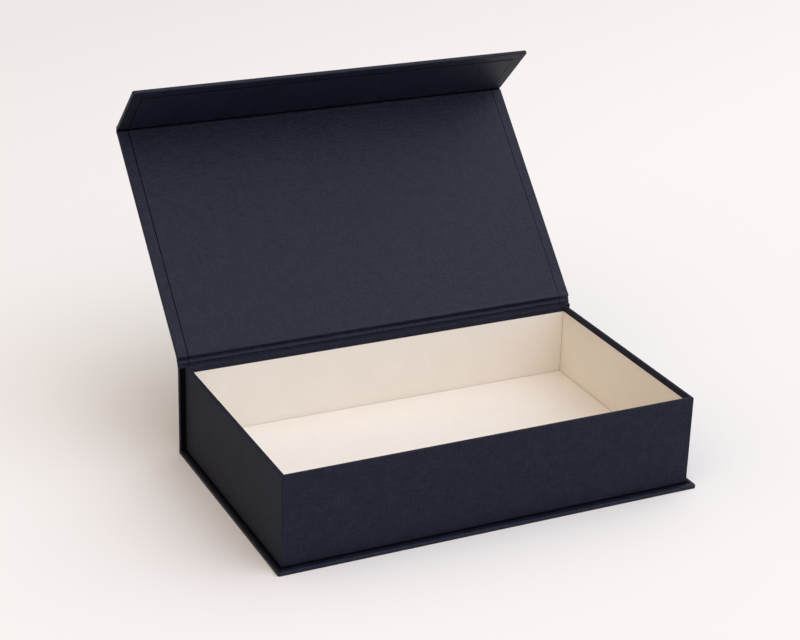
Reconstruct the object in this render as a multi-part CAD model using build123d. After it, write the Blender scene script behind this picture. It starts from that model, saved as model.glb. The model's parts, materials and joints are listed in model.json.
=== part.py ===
"""Magnetic gift box: a book-style case of paper-wrapped boards round a lined tray.

Millimetres, +Z up. X runs along the front edge and Y to the back. The origin lies on the
surface that the box stands on, under the centre of the tray. The box is drawn standing open:
the lid leans back on its paper joint, and the magnet flap is folded in.

A case panel is drawn flat first. Its Y runs from one fold line to the next, and its Z from the
outer face to the inner one, with zero at the board's outer face, which is also the plane of the
fold lines. The panel is then set at its fold line, at its lean.
"""
import os
from math import cos, radians, sin, sqrt

from build123d import *

# Papers and boards
PAPER = 0.2  # wrap or lining paper with its glue
BOARD = 2.5  # greyboard of every panel and wall
TAPE = 0.1  # corner tape of the tray
CRUSH = 0.35  # crushed edge of a cut board
EDGE_R = 0.8  # bend of the wrap round the edge of a board
LEVEL = 0.01  # an edge that rises less than this lies flat
PANEL_CORNER_R = 1.6  # corner of a case board, seen from above
WALL_CORNER_R = 0.7  # upright corner of the tray's boards

# Tray
TRAY_W = 320.0
TRAY_D = 187.0
TRAY_H = 68.5
RIM_BAND = 4.5  # wrap that shows inside the rim, above the lining
RIM_TURN_IN = 15.0  # wrap folded down inside the rim
FOOT_TURN_IN = 14.0  # wrap folded under the floor
STAY_LEG = 18.0  # reach of a corner tape along each wall
STAY_FOOT_GAP = 1.0  # from the foot of a wall to its corner tape
STAY_TOP_GAP = 3.0  # from the top of a wall to its corner tape
FLOOR_TOP = 15.5  # cream floor above the table
PAD_GAP = 0.3  # air between the floor pad and the wall lining
PAD_TURN_IN = 10.0  # pad cover folded under the pad
SEAM = 0.3  # open seam where the wall lining's two ends meet

# Case
SIDE_OVERHANG = 4.7  # case beyond the tray at each side
FRONT_OVERHANG = 6.0  # base beyond the tray in front
TURN_IN = 12.0  # wrap folded onto the inner face of a panel
MARGIN = 9.0  # wrap left showing beside a panel's lining
MITRE = 0.15  # cut between two turn-ins at a corner
MITRE_STOP = 1.5  # the cut ends this short of the corner
LID_LENGTH = 186.7  # fold line to fold line
FLAP_LENGTH = 58.0  # fold line to free edge
LID_JOINT = 5.0  # paper between the fold lines of spine and lid
FLAP_JOINT = 4.8  # paper between the fold lines of lid and flap
FOLD_GAP = 0.25  # from a fold line to the end of the panel beside it
CLOSED_GAP = 0.3  # air between the shut lid's lining and the rim

# Magnets and the steel discs that they meet
MAGNET_R = 6.0
MAGNET_T = 2.0
DISC_T = 1.5
HOLE_R = 6.1  # punched hole round a magnet or disc
MAGNET_SPACING = 200.0
MAGNET_INSET = 14.0  # magnet's centre from the flap's free edge

# Pose: how far each panel leans behind upright
LID_LEAN = 44.0
FLAP_FOLD = 90.0  # flap folded in, measured from flat with the lid

# Sizes that follow
PANEL = BOARD + 2 * PAPER
LINED = PANEL + PAPER
CASE_W = TRAY_W + 2 * SIDE_OVERHANG
FOOT = PANEL  # the tray stands on the base panel
RIM = FOOT + TRAY_H
WALL = BOARD + PAPER  # outside of the wrap to the inner face of a wall board
INNER_X = TRAY_W / 2 - WALL
INNER_Y = TRAY_D / 2 - WALL
FLOOR_BOARD_TOP = FOOT + PAPER + BOARD
SPINE_BACK = TRAY_D / 2 + LINED
SPINE_FRONT = SPINE_BACK - PANEL  # turn-ins of the spine, where the base panel ends
FOLD_Y = SPINE_BACK - PAPER
FOLD_Z = RIM + CLOSED_GAP + LINED - PAPER - LID_JOINT / sqrt(2)
FLAP_FOLD_SHUT_Z = RIM + CLOSED_GAP + LINED - PAPER - FLAP_JOINT / sqrt(2)
DISC_Z = FLAP_FOLD_SHUT_Z - (FLAP_LENGTH - MAGNET_INSET)
NEAR, FAR = "near", "far"


def slab(width, y0, y1, z0, z1):
    """A block centred in X."""
    return Pos(0, (y0 + y1) / 2, (z0 + z1) / 2) * Box(width, y1 - y0, z1 - z0)


def corner_slab(width, y0, y1, z0, z1, radius, wrapped):
    """A block whose upright corners are round at its wrapped ends."""
    middle = (y0 + y1) / 2
    block = slab(width, y0, y1, z0, z1)
    corners = []
    for edge in block.edges().filter_by(Axis.Z):
        end = FAR if edge.center().Y > middle else NEAR
        if end in wrapped:
            corners.append(edge)
    return fillet(corners, radius) if corners else block


def covered_edges(block, wrapped):
    """The flat edges that paper bends round: all of them but the fold side's at an open end."""
    middle = block.bounding_box().center()
    outline = []
    for edge in block.edges():
        box = edge.bounding_box()
        at_wrapped_end = (NEAR in wrapped and box.max.Y < middle.Y) or (
            FAR in wrapped and box.min.Y > middle.Y
        )
        along_x_only = box.size.Y < LEVEL
        on_fold_side = box.max.Z < middle.Z
        stays_sharp = along_x_only and on_fold_side and not at_wrapped_end
        if box.size.Z < LEVEL and not stays_sharp:
            outline.append(edge)
    return outline


def panel_board(y0, y1, wrapped):
    """The greyboard of a case panel that reaches from y0 to y1 over its paper."""
    board = corner_slab(
        CASE_W - 2 * PAPER, y0 + PAPER, y1 - PAPER, 0, BOARD, PANEL_CORNER_R, wrapped
    )
    return chamfer(covered_edges(board, wrapped), CRUSH)


def mitre_cuts(y0, y1, wrapped):
    """Slits at 45 degrees between the turn-ins, at the corners of each wrapped end."""
    inner_end = TURN_IN + MITRE  # past the turn-ins' inner corner, so that the slit opens there
    reach = (inner_end - MITRE_STOP) * sqrt(2)
    middle = (inner_end + MITRE_STOP) / 2
    cuts = []
    for end, edge_y, inward in ((NEAR, y0, 1), (FAR, y1, -1)):
        if end not in wrapped:
            continue
        for side in (-1, 1):
            centre = Pos(side * (CASE_W / 2 - middle), edge_y + inward * middle, BOARD + PAPER / 2)
            cuts.append(centre * Rot(0, 0, -45 * side * inward) * Box(reach, MITRE, PAPER))
    return cuts


def uncut_wrap(y0, y1, wrapped):
    """Wrap paper round a panel: outer face, edges and turn-ins, open where the lining goes."""
    wrap = corner_slab(CASE_W, y0, y1, -PAPER, BOARD + PAPER, PANEL_CORNER_R + PAPER, wrapped)
    wrap = fillet(covered_edges(wrap, wrapped), EDGE_R)
    wrap -= panel_board(y0, y1, wrapped)
    window_y0 = y0 + TURN_IN if NEAR in wrapped else y0
    window_y1 = y1 - TURN_IN if FAR in wrapped else y1
    wrap -= slab(CASE_W - 2 * TURN_IN, window_y0, window_y1, BOARD, BOARD + PAPER)
    if NEAR not in wrapped:
        wrap -= slab(CASE_W - 2 * MARGIN, y0, y0 + PAPER, 0, BOARD + PAPER)
    if FAR not in wrapped:
        wrap -= slab(CASE_W - 2 * MARGIN, y1 - PAPER, y1, 0, BOARD + PAPER)
    return wrap


def panel_wrap(y0, y1, wrapped):
    """Wrap paper round a panel, slit between its turn-ins."""
    wrap = uncut_wrap(y0, y1, wrapped)
    for cut in mitre_cuts(y0, y1, wrapped):
        wrap -= cut
    return wrap


def returned_ends(sheet, returned):
    """The inner edges across a sheet at the ends where it bends down over the board."""
    middle = sheet.bounding_box().center()
    bends = []
    for edge in sheet.edges().filter_by(Axis.X):
        end = FAR if edge.center().Y > middle.Y else NEAR
        if end in returned and edge.center().Z > middle.Z:
            bends.append(edge)
    return bends


def panel_lining(y0, y1, wrapped, returned):
    """Lining over the turn-ins of a panel, bent down over the board at each returned end."""
    width = CASE_W - 2 * MARGIN
    sheet_y1 = y1 - MARGIN if FAR in wrapped else y1
    lining = slab(width, y0, sheet_y1, 0, BOARD + 2 * PAPER)
    lining = fillet(returned_ends(lining, returned), EDGE_R)
    lining -= panel_board(y0, y1, wrapped)
    lining -= uncut_wrap(y0, y1, wrapped)
    if NEAR not in returned:
        lining -= slab(width, y0, y0 + PAPER, 0, BOARD + PAPER)
    return lining


def joint_strip(length):
    """Paper joint between two fold lines: wrap under lining, half round at each fold line."""
    strip = slab(CASE_W, 0, length, -PAPER, PAPER)
    for y in (0, length):
        strip += Pos(0, y, 0) * Rot(0, 90, 0) * Cylinder(PAPER, CASE_W)
    inner = slab(CASE_W - 2 * MARGIN, -PAPER, length + PAPER, 0, PAPER)
    return strip - inner, strip & inner


def at_fold(y, z, lean):
    """Where a flat-drawn panel goes that starts at fold line y, z and leans behind upright."""
    return Pos(0, y, z) * Rot(90 - lean, 0, 0)


def along(y, z, lean, length):
    """The far fold line of a panel of some length."""
    return y + length * sin(radians(lean)), z + length * cos(radians(lean))


def tray_block(inset, corner_r, z0, z1):
    """The tray's outer form, drawn in by an inset, with round upright corners."""
    height = z1 - z0
    block = Pos(0, 0, z0 + height / 2) * Box(TRAY_W - 2 * inset, TRAY_D - 2 * inset, height)
    return fillet(block.edges().filter_by(Axis.Z), corner_r)


def hollow(half_x, half_y, z0, z1):
    """The space inside the tray's walls."""
    return Pos(0, 0, (z0 + z1) / 2) * Box(2 * half_x, 2 * half_y, z1 - z0)


def soften_rim_and_foot(form):
    """Round the edges of the topmost and the lowest face."""
    faces = form.faces().sort_by(Axis.Z)
    return fillet(faces[-1].edges() + faces[0].edges(), EDGE_R)


def wall_ring():
    """The four wall boards as one ring, before it is cut into boards."""
    ring = tray_block(PAPER, WALL_CORNER_R, FOOT + PAPER, RIM - PAPER)
    ring -= hollow(INNER_X, INNER_Y, FOOT + PAPER, RIM - PAPER)
    top = ring.faces().sort_by(Axis.Z)[-1].edges()
    foot = ring.faces().sort_by(Axis.Z)[0].outer_wire().edges()
    return chamfer(top + foot, CRUSH)


def disc_places():
    """Middle of each magnet or disc along X, by side."""
    return {"left": -MAGNET_SPACING / 2, "right": MAGNET_SPACING / 2}


def wall_boards():
    """Front and back boards at full width, with the side boards butted between them."""
    ring = wall_ring()
    middle = (FOOT + RIM) / 2
    front = ring & (Pos(0, -INNER_Y - WALL / 2, middle) * Box(TRAY_W, WALL, TRAY_H))
    back = ring & (Pos(0, INNER_Y + WALL / 2, middle) * Box(TRAY_W, WALL, TRAY_H))
    left = ring & (Pos(-INNER_X - WALL / 2, 0, middle) * Box(WALL, 2 * INNER_Y, TRAY_H))
    right = ring & (Pos(INNER_X + WALL / 2, 0, middle) * Box(WALL, 2 * INNER_Y, TRAY_H))
    for x in disc_places().values():
        front -= Pos(x, -INNER_Y - BOARD / 2, DISC_Z) * Rot(90, 0, 0) * Cylinder(HOLE_R, 2 * BOARD)
    return {
        "tray_front_board": front,
        "tray_back_board": back,
        "tray_left_board": left,
        "tray_right_board": right,
    }


def floor_board():
    """The tray's floor, between the walls."""
    return hollow(INNER_X, INNER_Y, FOOT + PAPER, FLOOR_BOARD_TOP)


def corner_stays():
    """Tape folded round each corner of the tray, under the wrap."""
    z0 = FOOT + PAPER + STAY_FOOT_GAP
    z1 = RIM - PAPER - STAY_TOP_GAP
    shell = tray_block(PAPER - TAPE, WALL_CORNER_R + TAPE, z0, z1)
    shell -= tray_block(PAPER, WALL_CORNER_R, z0, z1)
    stays = {}
    for y_name, y_side in (("front", -1), ("back", 1)):
        for x_name, x_side in (("left", -1), ("right", 1)):
            corner = Pos(
                x_side * (TRAY_W - STAY_LEG) / 2, y_side * (TRAY_D - STAY_LEG) / 2, (z0 + z1) / 2
            )
            stays[f"corner_stay_{y_name}_{x_name}"] = shell & (
                corner * Box(STAY_LEG, STAY_LEG, z1 - z0)
            )
    return stays


def tray_wrap(stays):
    """Wrap round the walls, over the rim and down inside it, and in under the floor."""
    fold_z = RIM - RIM_TURN_IN
    wrap = tray_block(0, WALL_CORNER_R + PAPER, FOOT, RIM)
    wrap -= hollow(INNER_X - PAPER, INNER_Y - PAPER, FOOT + PAPER, RIM)
    wrap = soften_rim_and_foot(wrap)
    wrap -= hollow(INNER_X, INNER_Y, FOOT + PAPER, fold_z)
    wrap -= hollow(TRAY_W / 2 - FOOT_TURN_IN, TRAY_D / 2 - FOOT_TURN_IN, FOOT, FOOT + PAPER)
    wrap -= wall_ring()
    for stay in stays.values():
        wrap -= stay
    return wrap


def wall_lining():
    """Cream lining round the walls, over the rim's turn-in, with a seam in one back corner."""
    fold_z = RIM - RIM_TURN_IN
    top_z = RIM - RIM_BAND
    lining = hollow(INNER_X, INNER_Y, FLOOR_BOARD_TOP, fold_z)
    lining += hollow(INNER_X - PAPER, INNER_Y - PAPER, fold_z, top_z)
    face_x = INNER_X - 2 * PAPER
    face_y = INNER_Y - 2 * PAPER
    lining -= hollow(face_x, face_y, FLOOR_BOARD_TOP, top_z)
    seam = Pos(face_x - SEAM / 2, face_y + PAPER, (FLOOR_BOARD_TOP + top_z) / 2)
    return lining - seam * Box(SEAM, 2 * PAPER, top_z - FLOOR_BOARD_TOP)


def floor_pad():
    """The pad that raises the floor, and its cream cover, turned in underneath."""
    half_x = INNER_X - 2 * PAPER - PAD_GAP
    half_y = INNER_Y - 2 * PAPER - PAD_GAP
    z0 = FLOOR_BOARD_TOP
    core = hollow(half_x - PAPER, half_y - PAPER, z0 + PAPER, FLOOR_TOP - PAPER)
    core = chamfer(core.faces().sort_by(Axis.Z)[-1].edges(), CRUSH)
    cover = hollow(half_x, half_y, z0, FLOOR_TOP)
    cover = fillet(cover.faces().sort_by(Axis.Z)[-1].edges(), EDGE_R)
    cover -= core
    cover -= hollow(half_x - PAD_TURN_IN, half_y - PAD_TURN_IN, z0, z0 + PAPER)
    return core, cover


def strike_discs():
    """Steel discs flush with the outer face of the tray's front board."""
    face_y = -TRAY_D / 2 + PAPER
    discs = {}
    for name, x in disc_places().items():
        place = Pos(x, face_y + DISC_T / 2, DISC_Z) * Rot(90, 0, 0)
        discs[f"strike_disc_{name}"] = place * Cylinder(MAGNET_R, DISC_T)
    return discs


def base_panel():
    """Board and wrap of the base. The wrap runs on under the spine."""
    front = -TRAY_D / 2 - FRONT_OVERHANG
    wrap = panel_wrap(front, SPINE_FRONT, (NEAR,))
    under_spine_w = CASE_W - 2 * EDGE_R
    wrap += slab(under_spine_w, SPINE_FRONT, SPINE_BACK, -PAPER, 0)
    place = Pos(0, 0, PAPER)
    return {
        "base_board": place * panel_board(front, SPINE_FRONT, (NEAR,)),
        "base_wrap": place * wrap,
    }


def spine_panel():
    """Board, wrap and lining of the spine, upright behind the tray."""
    y0 = PAPER - FOLD_Z
    y1 = -FOLD_GAP
    place = at_fold(FOLD_Y, FOLD_Z, 0)
    return {
        "spine_board": place * panel_board(y0, y1, ()),
        "spine_wrap": place * panel_wrap(y0, y1, ()),
        "spine_lining": place * panel_lining(y0, y1, (), (FAR,)),
    }


def joint_pair(name, place, length):
    """Wrap and lining of one paper joint."""
    wrap, lining = joint_strip(length)
    return {f"{name}_wrap": place * wrap, f"{name}_lining": place * lining}


def lid_panel(place):
    """Board, wrap and lining of the lid, open to a joint at both ends."""
    y0 = FOLD_GAP
    y1 = LID_LENGTH - FOLD_GAP
    return {
        "lid_board": place * panel_board(y0, y1, ()),
        "lid_wrap": place * panel_wrap(y0, y1, ()),
        "lid_lining": place * panel_lining(y0, y1, (), (NEAR, FAR)),
    }


def flap_panel(place):
    """Board, wrap and lining of the flap, with the magnets sunk in its board."""
    y0 = FOLD_GAP
    y1 = FLAP_LENGTH
    board = panel_board(y0, y1, (FAR,))
    pieces = {}
    for name, x in disc_places().items():
        centre = Pos(x, FLAP_LENGTH - MAGNET_INSET, 0)
        board -= centre * Pos(0, 0, BOARD / 2) * Cylinder(HOLE_R, 2 * BOARD)
        magnet = Pos(0, 0, BOARD - MAGNET_T / 2) * Cylinder(MAGNET_R, MAGNET_T)
        pieces[f"magnet_{name}"] = place * centre * magnet
    pieces["flap_board"] = place * board
    pieces["flap_wrap"] = place * panel_wrap(y0, y1, (FAR,))
    pieces["flap_lining"] = place * panel_lining(y0, y1, (FAR,), (NEAR,))
    return pieces


def tray_pieces():
    """Everything inside the tray's outer form."""
    pieces = wall_boards()
    pieces["tray_floor_board"] = floor_board()
    stays = corner_stays()
    pieces.update(stays)
    pieces["tray_wrap"] = tray_wrap(stays)
    pieces["wall_lining"] = wall_lining()
    pieces["floor_pad_core"], pieces["floor_pad_cover"] = floor_pad()
    pieces.update(strike_discs())
    return pieces


def lid_chain():
    """Joint, lid, joint and flap, each set at the end of the one before it."""
    joint_lean = LID_LEAN / 2
    lid_y, lid_z = along(FOLD_Y, FOLD_Z, joint_lean, LID_JOINT)
    top_y, top_z = along(lid_y, lid_z, LID_LEAN, LID_LENGTH)
    flap_joint_lean = LID_LEAN - FLAP_FOLD / 2
    flap_y, flap_z = along(top_y, top_z, flap_joint_lean, FLAP_JOINT)
    flap_lean = LID_LEAN - FLAP_FOLD
    print(f"lid joint, lower fold line: y {FOLD_Y:.4f} z {FOLD_Z:.4f}")
    print(f"lid joint, upper fold line: y {lid_y:.4f} z {lid_z:.4f}")
    print(f"flap joint, lower fold line: y {top_y:.4f} z {top_z:.4f}")
    print(f"flap joint, upper fold line: y {flap_y:.4f} z {flap_z:.4f}")
    pieces = joint_pair("lid_hinge", at_fold(FOLD_Y, FOLD_Z, joint_lean), LID_JOINT)
    pieces.update(lid_panel(at_fold(lid_y, lid_z, LID_LEAN)))
    pieces.update(joint_pair("flap_hinge", at_fold(top_y, top_z, flap_joint_lean), FLAP_JOINT))
    pieces.update(flap_panel(at_fold(flap_y, flap_z, flap_lean)))
    return pieces


def main():
    """Write one file for each piece."""
    os.makedirs("parts", exist_ok=True)
    pieces = {}
    pieces.update(base_panel())
    pieces.update(spine_panel())
    pieces.update(tray_pieces())
    pieces.update(lid_chain())
    for name, piece in pieces.items():
        export_step(piece, f"parts/{name}.step")
    print(len(pieces), "pieces")


main()
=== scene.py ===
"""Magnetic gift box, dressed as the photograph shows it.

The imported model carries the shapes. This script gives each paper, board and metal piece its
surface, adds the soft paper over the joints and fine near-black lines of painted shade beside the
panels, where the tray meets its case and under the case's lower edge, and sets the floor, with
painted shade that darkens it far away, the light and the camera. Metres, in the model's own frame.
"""
import json
from math import atan2, cos, pi, radians, sin

import bmesh
import bpy
from mathutils import Matrix, Vector


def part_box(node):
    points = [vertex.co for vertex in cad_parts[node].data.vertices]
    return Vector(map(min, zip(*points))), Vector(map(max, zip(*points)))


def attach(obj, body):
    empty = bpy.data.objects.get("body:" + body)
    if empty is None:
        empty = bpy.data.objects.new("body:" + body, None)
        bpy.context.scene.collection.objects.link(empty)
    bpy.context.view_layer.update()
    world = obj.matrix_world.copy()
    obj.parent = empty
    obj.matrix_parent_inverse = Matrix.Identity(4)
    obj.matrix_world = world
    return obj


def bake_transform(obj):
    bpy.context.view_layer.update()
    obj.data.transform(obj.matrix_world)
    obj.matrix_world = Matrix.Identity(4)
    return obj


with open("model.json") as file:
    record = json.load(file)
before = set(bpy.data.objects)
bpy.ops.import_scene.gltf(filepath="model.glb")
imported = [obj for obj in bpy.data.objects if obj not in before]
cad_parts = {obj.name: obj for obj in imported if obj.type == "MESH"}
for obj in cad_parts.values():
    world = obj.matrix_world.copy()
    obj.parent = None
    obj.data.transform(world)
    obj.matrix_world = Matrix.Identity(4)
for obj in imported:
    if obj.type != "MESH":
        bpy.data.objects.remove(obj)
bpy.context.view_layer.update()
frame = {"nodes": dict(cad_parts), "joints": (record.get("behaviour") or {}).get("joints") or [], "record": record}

MM = 0.001

# Fold lines of the paper joints, as (y, z), and how far each body leans behind upright
FOLDS = {j["name"]: Vector(j["pos_m"]).yz for j in frame["joints"]}
FLAP_FOLD = radians(90)


def lean_between(first, second):
    """Lean of the panel that runs from one fold line to another."""
    run = FOLDS[second] - FOLDS[first]
    return atan2(run.x, run.y)


LEANS = {
    "tray": 0.0,
    "lid_hinge": lean_between("lid_fold_lower", "lid_fold_upper"),
    "lid": lean_between("lid_fold_upper", "flap_fold_lower"),
    "flap_hinge": lean_between("flap_fold_lower", "flap_fold_upper"),
}
LEANS["flap"] = LEANS["lid"] - FLAP_FOLD

# Case. Heights are measured from the outer face of a panel's board, inwards
CASE_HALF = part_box("lid_wrap")[1][0]
LINING_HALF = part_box("lid_lining")[1][0]
MARGIN = CASE_HALF - LINING_HALF  # turn-in that the lining leaves bare
LINING_UP = 2.9 * MM  # lining's face
TURN_IN_UP = 2.7 * MM  # turn-in's face beside the lining
WRAP_OUT = 0.2 * MM  # wrap's outer face, the other way
EDGE_R = 0.8 * MM  # bend of the wrap round a board's edge
FOLD_GAP = 0.25 * MM  # from a fold line to the end of the panel beside it
FLAP_LENGTH = 58 * MM  # from its fold line to its edge

# Soft skin of paper that bridges a panel's end and the joint beside it
SKIN = 0.1 * MM  # how far it stands off the papers below
SKIN_REACH = 3.4 * MM  # onto the panel
SKIN_TUCK = 0.04 * MM  # its end dips this far into the panel's paper
SKIN_FOOT = 1.4 * MM  # where its inner face leaves the joint's strip, from the fold line
END_LOW = 0.35 * MM  # two heights at which its inner face passes the panel's end
END_HIGH = 1.4 * MM
OUTER_ON_STRIP = 1.2 * MM  # points of its outer face, from the fold line
OUTER_ON_PANEL = (0.6 * MM, 1.4 * MM, 2.3 * MM)
SKIN_ROUNDING = 3  # corner-cutting passes over its section
CORNER_CUT = 0.25  # part of a line that one pass cuts off at each end
SKIN_END_R = 0.85 * MM  # bend at its two ends
END_R_MOST = 0.45  # that bend at most, as a part of the skin's thickness
END_STEPS = 4  # sections round that bend
BEND_ON_STRIP = 0.8 * MM  # a length along the joint's strip from the fold line; the point it gives is not used
SHADED_FOLD_POINTS = 12  # points of a section that get painted shade in the fold of the flap's joint

# Shape of the skins over the lid's joint
LID_SWELL = 1.1 * MM  # how far the lid's end swells over its joint
SWELL_LEFT = 0.6  # part of the swell that is left at the upper of the two heights
SWELL_UP = 0.25  # part of the swell that lifts both heights
SWELL_FOOT = 0.5  # part of the swell that moves the foot out along the strip
LID_SLOPE = 0.25  # how much the paper over the lid's joint leans back from the joint's strip
SLOPE_LIFT = 2 * MM  # lift of that paper in the middle of the joint, for a slope of 1

# Fine near-black line beside a lining's open edge: painted shade, standing in for the shadow at the lining's step
EDGE_LINE = 0.65 * MM  # its width
EDGE_LINE_START = 2 * MM  # from the fold line to where it starts
EDGE_LINE_THIN = SKIN / 5  # its outer side, above the turn-in
EDGE_LINE_SUNK = SKIN / 2  # its underside, below the turn-in's face

# Fine near-black lines where the tray meets its case, round its foot and up its back corners: painted shade,
# standing in for the contact shadow in those gaps
JOINT_LINE_UP = 0.8 * MM  # over the tray's wall
JOINT_LINE_OUT = 2.1 * MM  # out over the base
SPINE_LINE_OUT = 3.8 * MM  # out over the spine
JOINT_LINE_THIN = SKIN / 2  # their thin sides stand out this far, and they are sunk as deep

# Fine near-black line under the base's rounded lower edge: painted shade, standing in for the contact shadow on
# the table
GROUND_LINE_UP = 0.5 * MM  # its top, above the table
GROUND_LINE_LOW = SKIN / 5  # its foot, above the table
GROUND_LINE_TOP = (SKIN, EDGE_R / 2)  # outer and inner side of its top, in from the base's edge
GROUND_LINE_FOOT = (1.5 * SKIN, EDGE_R)  # and of its foot
GROUND_LINE_CUT = 1.0 * MM  # off its corners

# Camera, from the fit to the photograph
IMAGE_WIDTH_PX = 800
SENSOR_MM = 36
FOCAL_PX = 1985.0
CAMERA_AZIMUTH = radians(-26.02)
CAMERA_ELEVATION = radians(23.16)
CAMERA_ROLL = radians(1.70)
CAMERA_DISTANCE = 1.4063
CAMERA_TARGET = Vector((-0.03167, 0, 0.12536))
CAMERA_CLIP = (0.05, 60)

# Navy papers and the near-black lines of painted shade: the two tones of each as linear colours, roughness and
# gloss
NAVY = ((0.0001, 0.0004, 0.0086), (0.0083, 0.0116, 0.0258))
CASE_ROUGHNESS = 0.52
CASE_GLOSS = 0.262
TRAY_ROUGHNESS = 0.82  # the tray's own sheet is a little more matt
TRAY_GLOSS = 0.312
# Painted shade: the near-black tones of the fine lines that stand in for shadow in gaps, folds and contacts
PAINTED_SHADE_TONES = ((0.0008, 0.0009, 0.0016), (0.0016, 0.0019, 0.0034))
LINE_ROUGHNESS = 0.9
LINE_GLOSS = 0.05

# Grain of the papers: noise cells in a metre
FINE_THREADS = 1500
THICK_THREADS = 650
GRAIN = 480
CLOUDS = 130
TOOTH = 1800
MOTTLE = 35
THREAD_STRETCH = 0.12  # a thread's width over its length

# The other materials' two tones
CREAM = ((0.797, 0.737, 0.640), (0.827, 0.773, 0.687))
GREYBOARD = ((0.20, 0.18, 0.15), (0.34, 0.31, 0.27))
PAD_CARD = ((0.34, 0.25, 0.16), (0.50, 0.39, 0.26))
PAPER_TAPE = ((0.42, 0.31, 0.19), (0.52, 0.40, 0.26))
MAGNET = ((0.52, 0.52, 0.54), (0.66, 0.66, 0.68))
STEEL_DISC = ((0.38, 0.38, 0.40), (0.52, 0.52, 0.54))

# Floor and backdrop. The floor's colour darkens far away, and sooner towards the back and the left: painted shade,
# standing in for the light falling off
FLOOR = (0.868, 0.843, 0.793)
FLOOR_SIZE = 12.0
FLOOR_FAR_SHADE = 0.88  # how much of its colour is left far away
SHADE_TOWARDS = (-0.5, 1, 0)  # towards the back and the left it gets there sooner
SHADE_BEHIND = (0.3, 1.3)  # metres that way between which it gets darker
SHADE_ROUND = (1.7, 3.2)  # metres from the box, in every direction
BACKDROP = (0.81, 0.77, 0.75)  # as the far floor looks under the lights

# Light: broad soft sources, each a direction towards it and its colour
SOURCES = {
    "front_right": ((0.60, -0.40, 0.70), (0.86, 1.00, 1.48)),
    "front": ((-0.10, -0.75, 0.65), (1.06, 1.00, 0.93)),
    "left": ((-0.75, -0.10, 0.65), (0.92, 0.72, 0.57)),
    "right": ((0.80, 0.20, 0.55), (1.26, 1.29, 1.20)),
    "back_right": ((0.45, 0.75, 0.50), (0.11, 0.10, 0.09)),
    "back_left": ((-0.50, 0.70, 0.50), (0.14, 0.13, 0.12)),
}
SOURCE_NARROWNESS = 3


def set_values(target, values):
    """Set a node's settings, and the defaults of its inputs by name or number."""
    for key, value in values.items():
        if isinstance(key, str) and hasattr(target, key):
            setattr(target, key, value)
        else:
            target.inputs[key].default_value = value


def add_node(tree, kind, values=None, links=None):
    """A node with its values set and its inputs linked."""
    made = tree.nodes.new(kind)
    set_values(made, values or {})
    for key, socket in (links or {}).items():
        tree.links.new(socket, made.inputs[key])
    return made


def new_material(name, roughness, specular):
    """A material with its shader, and what is the same all over set on the shader."""
    material = bpy.data.materials.new(name)
    material.use_nodes = True
    shader = material.node_tree.nodes["Principled BSDF"]
    shader.inputs["Roughness"].default_value = roughness
    shader.inputs["Specular IOR Level"].default_value = specular
    return material, material.node_tree, shader


def panel_coordinates(tree, lean):
    """Position in the panel's own directions: across, up the panel, and out of it."""
    place = add_node(tree, "ShaderNodeTexCoord")
    turned = add_node(
        tree,
        "ShaderNodeMapping",
        {"Rotation": (lean - pi / 2, 0, 0)},
        {"Vector": place.outputs["Object"]},
    )
    return turned.outputs["Vector"]


def noise(tree, vector, scale, detail=2.0, roughness=0.5, stretch=(1, 1, 1)):
    """Noise over the surface, drawn out where the stretch is small."""
    drawn = add_node(tree, "ShaderNodeMapping", {"Scale": stretch}, {"Vector": vector})
    made = add_node(
        tree,
        "ShaderNodeTexNoise",
        {"Scale": scale, "Detail": detail, "Roughness": roughness},
        {"Vector": drawn.outputs["Vector"]},
    )
    return made.outputs["Fac"]


def add_up(tree, *sockets):
    """The sum of several values."""
    total = sockets[0]
    for socket in sockets[1:]:
        made = add_node(tree, "ShaderNodeMath", {"operation": "ADD"}, {0: total, 1: socket})
        total = made.outputs["Value"]
    return total


def spread(tree, value, low, high, share=1.0):
    """Map a range of a value to nought up to a share, held at the ends."""
    made = add_node(
        tree,
        "ShaderNodeMapRange",
        {"From Min": low, "From Max": high, "To Min": 0.0, "To Max": share},
        {"Value": value},
    )
    return made.outputs["Result"]


def mix_colour(tree, factor, first, second):
    """Blend two colours by a factor."""
    made = tree.nodes.new("ShaderNodeMix")
    made.data_type = "RGBA"
    tree.links.new(factor, made.inputs["Factor"])
    for name, colour in (("A", first), ("B", second)):
        socket = [s for s in made.inputs if s.name == name and s.type == "RGBA"][0]
        socket.default_value = (*colour, 1)
    return [s for s in made.outputs if s.type == "RGBA"][0]


def threads(tree, vector, scale):
    """Crossed threads of linen-finish paper, on faces of any of the panel's directions."""
    long, short = THREAD_STRETCH, 1.0
    across = noise(tree, vector, scale, stretch=(long, short, short))
    upward = noise(tree, vector, scale, stretch=(short, long, short))
    outward = noise(tree, vector, scale, stretch=(short, short, long))
    return add_up(tree, across, upward, outward)


def relief(tree, shader, height, depth, strength):
    """Surface relief of some depth in metres."""
    bump = add_node(
        tree, "ShaderNodeBump", {"Distance": depth, "Strength": strength}, {"Height": height}
    )
    tree.links.new(bump.outputs["Normal"], shader.inputs["Normal"])


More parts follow.
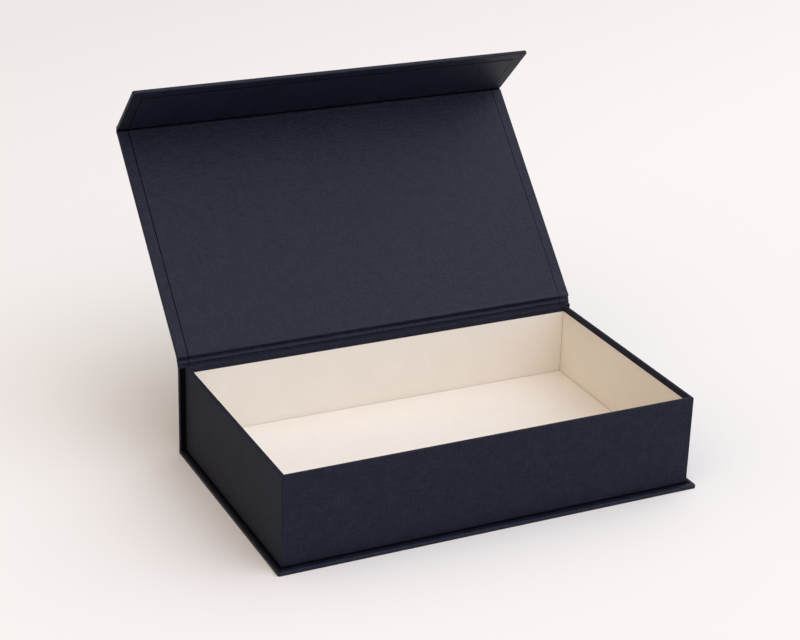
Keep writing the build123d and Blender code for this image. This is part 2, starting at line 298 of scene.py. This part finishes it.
def linen_paper(name, lean, tones, roughness, specular):
    """Dyed paper with a linen finish: fine crossed threads, thicker ones, grain and clouding."""
    material, tree, shader = new_material(name, roughness, specular)
    vector = panel_coordinates(tree, lean)
    fine = threads(tree, vector, FINE_THREADS)
    thick = threads(tree, vector, THICK_THREADS)
    grain = noise(tree, vector, GRAIN, detail=3, roughness=0.7)
    clouds = noise(tree, vector, CLOUDS, detail=4, roughness=0.6)
    tone = add_up(
        tree,
        spread(tree, fine, low=1.4, high=1.6, share=0.25),
        spread(tree, thick, low=1.4, high=1.6, share=0.25),
        spread(tree, grain, low=0.44, high=0.56, share=0.3),
        spread(tree, clouds, low=0.42, high=0.58, share=0.2),
    )
    tree.links.new(mix_colour(tree, tone, *tones), shader.inputs["Base Color"])
    relief(tree, shader, add_up(tree, fine, thick, grain), depth=0.26 * MM, strength=0.9)
    return material


def smooth_paper(name, tones, roughness):
    """Plain uncoated paper with faint mottling, grain and tooth."""
    material, tree, shader = new_material(name, roughness, specular=0.25)
    vector = panel_coordinates(tree, LEANS["tray"])
    mottle = noise(tree, vector, MOTTLE, detail=5, roughness=0.6)
    tooth = noise(tree, vector, TOOTH, detail=2)
    grain = noise(tree, vector, GRAIN, detail=3, roughness=0.7)
    tone = add_up(
        tree,
        spread(tree, mottle, low=0.3, high=0.7, share=0.6),
        spread(tree, grain, low=0.42, high=0.58, share=0.4),
    )
    tree.links.new(mix_colour(tree, tone, *tones), shader.inputs["Base Color"])
    relief(tree, shader, add_up(tree, tooth, grain), depth=0.12 * MM, strength=0.4)
    return material


def pressed_board(name, tones):
    """Greyboard or card: pressed fibres with darker and lighter specks."""
    material, tree, shader = new_material(name, roughness=0.9, specular=0.2)
    vector = panel_coordinates(tree, LEANS["tray"])
    specks = noise(tree, vector, scale=900, detail=6, roughness=0.75)
    cloud = noise(tree, vector, scale=90, detail=4)
    tone = add_up(
        tree,
        spread(tree, specks, low=0.35, high=0.65, share=0.6),
        spread(tree, cloud, low=0.3, high=0.7, share=0.4),
    )
    tree.links.new(mix_colour(tree, tone, *tones), shader.inputs["Base Color"])
    relief(tree, shader, specks, depth=0.2 * MM, strength=0.5)
    return material


def turned_metal(name, tones, roughness):
    """Plated or ground metal, faintly marked."""
    material, tree, shader = new_material(name, roughness, specular=0.5)
    shader.inputs["Metallic"].default_value = 1.0
    vector = panel_coordinates(tree, LEANS["tray"])
    marks = noise(tree, vector, scale=700, detail=4, stretch=(1, 0.1, 1))
    tree.links.new(mix_colour(tree, marks, *tones), shader.inputs["Base Color"])
    relief(tree, shader, marks, depth=0.03 * MM, strength=0.3)
    return material


def slot_materials():
    """Every slot's material. Navy papers have one for each body, so that their threads run true."""
    made = {}
    for body, lean in LEANS.items():
        for slot in ("navy_wrap", "navy_lining"):
            made[slot, body] = linen_paper(
                f"{slot}_{body}", lean, NAVY, CASE_ROUGHNESS, CASE_GLOSS
            )
        made["edge_line", body] = linen_paper(
            f"edge_line_{body}", lean, PAINTED_SHADE_TONES, LINE_ROUGHNESS, LINE_GLOSS
        )
    made["tray_sheet"] = linen_paper(
        "navy_wrap_tray_sheet", LEANS["tray"], NAVY, TRAY_ROUGHNESS, TRAY_GLOSS
    )
    plain = {
        "cream_lining": smooth_paper("cream_lining", CREAM, roughness=0.85),
        "greyboard": pressed_board("greyboard", GREYBOARD),
        "pad_card": pressed_board("pad_card", PAD_CARD),
        "paper_tape": smooth_paper("paper_tape", PAPER_TAPE, roughness=0.7),
        "magnet": turned_metal("magnet", MAGNET, roughness=0.25),
        "steel_disc": turned_metal("steel_disc", STEEL_DISC, roughness=0.4),
    }
    for slot, material in plain.items():
        for body in LEANS:
            made[slot, body] = material
    return made


def dress_nodes(materials):
    """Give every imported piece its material."""
    slots = {p["node"]: p["material_slot"] for p in frame["record"]["subparts"]}
    bodies = frame["record"]["behaviour"]["bodies"]
    for body, names in bodies.items():
        for name in names:
            key = "tray_sheet" if name == "tray_wrap" else (slots[name], body)
            mesh = frame["nodes"][name].data
            mesh.materials.clear()
            mesh.materials.append(materials[key])


def beside_fold(fold, body, side):
    """A function that gives a point by its distance from a fold line, on one side, and its height."""
    lean = LEANS[body]
    run = side * Vector((sin(lean), cos(lean)))
    out = Vector((-cos(lean), sin(lean)))

    def place(away, height):
        return FOLDS[fold] + away * run + height * out

    return place


def half_strip(body):
    """Half the length of a joint's strip of paper, from one of its fold lines to the other."""
    joint = body.removesuffix("_hinge")
    return (FOLDS[f"{joint}_fold_upper"] - FOLDS[f"{joint}_fold_lower"]).length / 2


def cut_corners(line):
    """A line with its corners cut off again and again, so that it curves, with its ends kept."""
    for _ in range(SKIN_ROUNDING):
        cut = [line[0]]
        for first, second in zip(line, line[1:]):
            cut += [first.lerp(second, CORNER_CUT), first.lerp(second, 1 - CORNER_CUT)]
        line = cut + [line[-1]]
    return line


def skin_section(panel, strip, middle, panel_up, swell, slope):
    """A skin's inner and outer line, from the middle of the joint's strip onto the panel."""
    end = FOLD_GAP - SKIN
    top = panel_up + SKIN
    off = WRAP_OUT + SKIN
    foot = SKIN_FOOT + SWELL_FOOT * swell
    middle_up = off + SLOPE_LIFT * abs(slope)
    lifted = SWELL_UP * swell
    inner = [
        strip(middle, middle_up),
        strip(foot, middle_up + slope * (middle - foot)),
        panel(end - swell, END_LOW + lifted),
        panel(end - SWELL_LEFT * swell, END_HIGH + lifted),
        panel(end, top),
        panel(end + 2 * EDGE_R, top),
        panel(SKIN_REACH, panel_up - SKIN_TUCK),
    ]
    outer = [
        strip(middle, -off),
        strip(OUTER_ON_STRIP, -off),
        panel(0, -off - SKIN / 2),
        *(panel(away, -off) for away in OUTER_ON_PANEL),
        panel(SKIN_REACH, SKIN_TUCK - WRAP_OUT),
    ]
    return list(zip(cut_corners(inner), cut_corners(outer)))


def bent_end(section, side, turn):
    """One ring of a skin's rounded end: the section drawn together, and how far out it lies."""
    inner_line = []
    outer_line = []
    for inner, outer in section:
        thickness = (inner - outer).length
        radius = min(SKIN_END_R, END_R_MOST * thickness)
        inset = radius * (1 - cos(turn)) / thickness
        x = side * (CASE_HALF + SKIN / 2 - radius * (1 - sin(turn)))
        inner_line.append((x, *inner.lerp(outer, inset)))
        outer_line.append((x, *outer.lerp(inner, inset)))
    return inner_line + outer_line[::-1]


def skin_rings(section_at, lining_up):
    """Rings of a skin from left to right, and the numbers of those with a near-black line of painted shade on
    their left, along the lining's edges.
    """
    turns = [pi / 2 * k / END_STEPS for k in range(END_STEPS, -1, -1)]
    margin = section_at(TURN_IN_UP)
    rings = [bent_end(margin, -1, turn) for turn in turns]
    # Painted shade: the faces after these rings carry the lining's edge line on over the joint
    dark = {len(rings) + 1, len(rings) + 3}
    for x, panel_up in (
        (-LINING_HALF - EDGE_LINE, TURN_IN_UP),
        (-LINING_HALF, lining_up),
        (LINING_HALF, lining_up),
        (LINING_HALF + EDGE_LINE, TURN_IN_UP),
    ):
        section = section_at(panel_up)
        inner_line = [(x, *inner) for inner, outer in section]
        outer_line = [(x, *outer) for inner, outer in section]
        rings.append(inner_line + outer_line[::-1])
    rings += [bent_end(margin, 1, turn) for turn in reversed(turns)]
    return rings, dark


def piece_from_rings(name, rings, loop=False):
    """A closed mesh through rings of points that match each other, or all the way round them."""
    size = len(rings[0])
    vertices = [point for ring in rings for point in ring]
    faces = []
    for number in range(len(rings) if loop else len(rings) - 1):
        start = number * size
        far = (number + 1) % len(rings) * size
        for k in range(size):
            after = (k + 1) % size
            faces.append((start + k, start + after, far + after, far + k))
    for start in () if loop else (0, (len(rings) - 1) * size):
        for k in range(size // 2 - 1):
            back = size - 1 - k
            faces.append((start + k, start + k + 1, start + back - 1, start + back))
    mesh = bpy.data.meshes.new(name)
    mesh.from_pydata(vertices, [], faces)
    tidy = bmesh.new()
    tidy.from_mesh(mesh)
    bmesh.ops.recalc_face_normals(tidy, faces=tidy.faces)
    tidy.to_mesh(mesh)
    tidy.free()
    piece = bpy.data.objects.new(name, mesh)
    bpy.context.scene.collection.objects.link(piece)
    return piece


def joint_skin(
    name, fold, panel_body, strip_body, side, materials, lowered=0, swell=0, slope=0, shade_in_fold=0
):
    """Soft paper over one fold line, bending between the panel and the joint's strip.

    The side is 1 where the panel starts at the fold line and -1 where it ends there. The part
    over the lining is lowered by some height. The last argument is how many points of the section
    are painted dark as shade in the fold, counted on its inner face from the middle of the strip.
    """
    panel = beside_fold(fold, panel_body, side)
    strip = beside_fold(fold, strip_body, -side)
    middle = half_strip(strip_body)

    def section_at(panel_up):
        return skin_section(panel, strip, middle, panel_up, swell, slope)

    rings, dark = skin_rings(section_at, LINING_UP - lowered)
    piece = piece_from_rings(name, rings)
    piece.data.materials.append(materials["navy_wrap", strip_body])
    piece.data.materials.append(materials["edge_line", strip_body])
    size = len(rings[0])
    # Inner faces along the lining's edges and in the fold of the flap's joint get the near-black material: painted
    # shade
    for polygon in piece.data.polygons:
        polygon.use_smooth = True
        first = min(polygon.vertices) // size
        last = max(polygon.vertices) // size
        inner_face = all(v % size < size // 2 for v in polygon.vertices)
        in_shaded_fold = all(v % size < shade_in_fold for v in polygon.vertices)
        if first + 1 == last and (last in dark or in_shaded_fold) and inner_face:
            polygon.material_index = 1
    start = panel(0, 0)
    end = panel(-BEND_ON_STRIP, 0)
    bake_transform(piece)


def cover_joints(materials):
    """A skin over each fold line. Behind the tray it lies a little lower, clear of the rim."""
    joint_skin(
        "joint_skin_spine",
        "lid_fold_lower",
        "tray",
        "lid_hinge",
        -1,
        materials,
        lowered=SKIN,
        slope=LID_SLOPE,
    )
    joint_skin(
        "joint_skin_lid",
        "lid_fold_upper",
        "lid",
        "lid_hinge",
        1,
        materials,
        swell=LID_SWELL,
        slope=-LID_SLOPE,
    )
    for name, fold, body, side in (
        ("joint_skin_lid_top", "flap_fold_lower", "lid", -1),
        ("joint_skin_flap", "flap_fold_upper", "flap", 1),
    ):
        joint_skin(name, fold, body, "flap_hinge", side, materials, shade_in_fold=SHADED_FOLD_POINTS)


def edge_line(name, body, fold, inner, outer, materials):
    """A fine near-black wedge of painted shade along a lining's open edge, through corners given as (x, away from
    the fold).
    """
    place = beside_fold(fold, body, 1)
    rings = []
    for (x0, away0), (x1, away1) in zip(inner, outer):
        ring = [
            (x0, *place(away0, LINING_UP)),
            (x1, *place(away1, TURN_IN_UP + EDGE_LINE_THIN)),
            (x1, *place(away1, TURN_IN_UP - EDGE_LINE_SUNK)),
            (x0, *place(away0, TURN_IN_UP - EDGE_LINE_SUNK)),
        ]
        rings.append(ring)
    piece = piece_from_rings(name, rings)
    piece.data.materials.append(materials["edge_line", body])
    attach(piece, body)


def draw_lining_edge_shade(materials):
    """Painted shade along the open edges of the lid's and the flap's lining."""
    start = EDGE_LINE_START
    lid_end = (FOLDS["flap_fold_lower"] - FOLDS["lid_fold_upper"]).length - start
    near = LINING_HALF
    far = LINING_HALF + EDGE_LINE
    for name, side in (("left", -1), ("right", 1)):
        edge_line(
            f"lid_lining_edge_{name}",
            "lid",
            "lid_fold_upper",
            [(side * near, start), (side * near, lid_end)],
            [(side * far, start), (side * far, lid_end)],
            materials,
        )
    flap_end = FLAP_LENGTH - MARGIN
    edge_line(
        "flap_lining_shade",
        "flap",
        "flap_fold_upper",
        [(-near, start), (-near, flap_end), (near, flap_end), (near, start)],
        [(-far, start), (-far, flap_end + EDGE_LINE), (far, flap_end + EDGE_LINE), (far, start)],
        materials,
    )


def painted_shade_piece(name, rings, materials, loop=False):
    """A fine near-black wedge of painted shade that stays with the tray."""
    piece = piece_from_rings(name, rings, loop)
    piece.data.materials.append(materials["edge_line", "tray"])
    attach(piece, "tray")


def draw_tray_joint_shade(materials):
    """The near-black line of painted shade round the tray's foot, and up its back corners beside the spine, where
    the contact shadow falls.
    """
    (left, front, _), (right, back, rim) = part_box("tray_wrap")
    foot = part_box("base_wrap")[1][2]
    thin = JOINT_LINE_THIN
    rings = []
    for x, y, out_y in ((left, back, 0), (left, front, -1), (right, front, -1), (right, back, 0)):
        out_x = -1 if x == left else 1
        ring = []
        for away, height in (
            (thin, JOINT_LINE_UP),
            (JOINT_LINE_OUT, thin),
            (JOINT_LINE_OUT, -thin),
            (-thin, -thin),
        ):
            ring.append((x + out_x * away, y + out_y * away, foot + height))
        rings.append(ring)
    painted_shade_piece("tray_foot_shade", rings, materials)
    for name, x, out_x in (("left", left, -1), ("right", right, 1)):
        rings = []
        for z in (foot, rim - EDGE_R):
            rings.append(
                [
                    (x + out_x * thin, back - JOINT_LINE_UP, z),
                    (x + out_x * SPINE_LINE_OUT, back - thin, z),
                    (x + out_x * SPINE_LINE_OUT, back + thin, z),
                    (x - out_x * thin, back + thin, z),
                ]
            )
        painted_shade_piece(f"tray_back_line_{name}", rings, materials)


def draw_ground_shade(materials):
    """The near-black line of painted shade along the rounded lower edge of the case, where it meets the surface
    below and the contact shadow falls.
    """
    (left, front, _), (right, _, _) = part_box("base_wrap")
    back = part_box("spine_wrap")[1][1]
    section = (
        (GROUND_LINE_TOP[0], GROUND_LINE_UP),
        (GROUND_LINE_FOOT[0], GROUND_LINE_LOW),
        (GROUND_LINE_FOOT[1], GROUND_LINE_LOW),
        (GROUND_LINE_TOP[1], GROUND_LINE_UP),
    )
    along_y = (0, GROUND_LINE_CUT)
    along_x = (GROUND_LINE_CUT, 0)
    rings = []
    for x, y, out_x, out_y, cuts in (
        (left, front, -1, -1, (along_y, along_x)),
        (right, front, 1, -1, (along_x, along_y)),
        (right, back, 1, 1, (along_y, along_x)),
        (left, back, -1, 1, (along_x, along_y)),
    ):
        for cut_x, cut_y in cuts:
            ring = []
            for away, height in section:
                ring.append((x - out_x * (away + cut_x), y - out_y * (away + cut_y), height))
            rings.append(ring)
    painted_shade_piece("ground_shade", rings, materials, loop=True)


def make_floor():
    """A pale floor that reaches past the picture on every side, darker far away and towards the back and the left:
    painted shade.
    """
    half = FLOOR_SIZE / 2
    corners = [(-half, -half, 0), (half, -half, 0), (half, half, 0), (-half, half, 0)]
    mesh = bpy.data.meshes.new("floor")
    mesh.from_pydata(corners, [], [(0, 1, 2, 3)])
    floor = bpy.data.objects.new("floor", mesh)
    bpy.context.scene.collection.objects.link(floor)
    material, tree, shader = new_material("floor", roughness=0.95, specular=0.1)
    place = add_node(tree, "ShaderNodeTexCoord")
    behind = add_node(
        tree, "ShaderNodeVectorMath", {"operation": "DOT_PRODUCT"}, {0: place.outputs["Object"]}
    )
    behind.inputs[1].default_value = SHADE_TOWARDS
    away = add_node(
        tree, "ShaderNodeVectorMath", {"operation": "LENGTH"}, {0: place.outputs["Object"]}
    )
    tone = add_node(
        tree,
        "ShaderNodeMath",
        {"operation": "MAXIMUM"},
        {
            0: spread(tree, behind.outputs["Value"], *SHADE_BEHIND),
            1: spread(tree, away.outputs["Value"], *SHADE_ROUND),
        },
    ).outputs["Value"]
    # Painted shade: the floor's colour darkened far away and towards the back and the left
    far = tuple(c * FLOOR_FAR_SHADE for c in FLOOR)
    tree.links.new(mix_colour(tree, tone, FLOOR, far), shader.inputs["Base Color"])
    mesh.materials.append(material)


def source_light(tree, direction, colour):
    """Colour of one broad source, strongest in its own direction."""
    place = add_node(tree, "ShaderNodeTexCoord")
    facing = add_node(
        tree, "ShaderNodeVectorMath", {"operation": "DOT_PRODUCT"}, {0: place.outputs["Generated"]}
    )
    facing.inputs[1].default_value = Vector(direction).normalized()
    lit = add_node(
        tree, "ShaderNodeMath", {"operation": "MAXIMUM", 1: 0.0}, {0: facing.outputs["Value"]}
    )
    narrowed = add_node(
        tree, "ShaderNodeMath", {"operation": "POWER", 1: SOURCE_NARROWNESS}, {0: lit.outputs["Value"]}
    )
    scaled = add_node(
        tree, "ShaderNodeVectorMath", {"operation": "SCALE"}, {"Scale": narrowed.outputs["Value"]}
    )
    scaled.inputs[0].default_value = colour
    return scaled.outputs["Vector"]


def light_scene():
    """Broad soft studio sources all round, strongest from the right and the front."""
    world = bpy.data.worlds.new("studio")
    bpy.context.scene.world = world
    world.use_nodes = True
    tree = world.node_tree
    total = None
    for direction, colour in SOURCES.values():
        light = source_light(tree, direction, colour)
        if total is not None:
            light = add_node(
                tree, "ShaderNodeVectorMath", {"operation": "ADD"}, {0: total, 1: light}
            ).outputs["Vector"]
        total = light
    studio = tree.nodes["Background"]
    tree.links.new(total, studio.inputs["Color"])
    backdrop = add_node(tree, "ShaderNodeBackground", {"Color": (*BACKDROP, 1), "Strength": 1.0})
    path = add_node(tree, "ShaderNodeLightPath")
    shown = add_node(
        tree,
        "ShaderNodeMixShader",
        links={0: path.outputs["Is Camera Ray"], 1: studio.outputs[0], 2: backdrop.outputs[0]},
    )
    tree.links.new(shown.outputs[0], tree.nodes["World Output"].inputs["Surface"])


def aim_camera():
    """The photograph's viewpoint: aimed at a point over the tray, and rolled a little."""
    flat = cos(CAMERA_ELEVATION)
    back = Vector((sin(CAMERA_AZIMUTH) * flat, -cos(CAMERA_AZIMUTH) * flat, sin(CAMERA_ELEVATION)))
    right = Vector((0, 0, 1)).cross(back).normalized()
    up = back.cross(right)
    turned_right = cos(CAMERA_ROLL) * right + sin(CAMERA_ROLL) * up
    turned_up = cos(CAMERA_ROLL) * up - sin(CAMERA_ROLL) * right
    data = bpy.data.cameras.new("camera")
    data.sensor_width = SENSOR_MM
    data.lens = FOCAL_PX * SENSOR_MM / IMAGE_WIDTH_PX
    data.clip_start, data.clip_end = CAMERA_CLIP
    camera = bpy.data.objects.new("camera", data)
    turn = Matrix((turned_right, turned_up, back)).transposed().to_4x4()
    camera.matrix_world = Matrix.Translation(CAMERA_TARGET + back * CAMERA_DISTANCE) @ turn
    bpy.context.scene.collection.objects.link(camera)
    bpy.context.scene.camera = camera


materials = slot_materials()
dress_nodes(materials)
cover_joints(materials)
draw_lining_edge_shade(materials)
draw_tray_joint_shade(materials)
draw_ground_shade(materials)
make_floor()
light_scene()
aim_camera()
bpy.context.scene.view_settings.view_transform = "Standard"
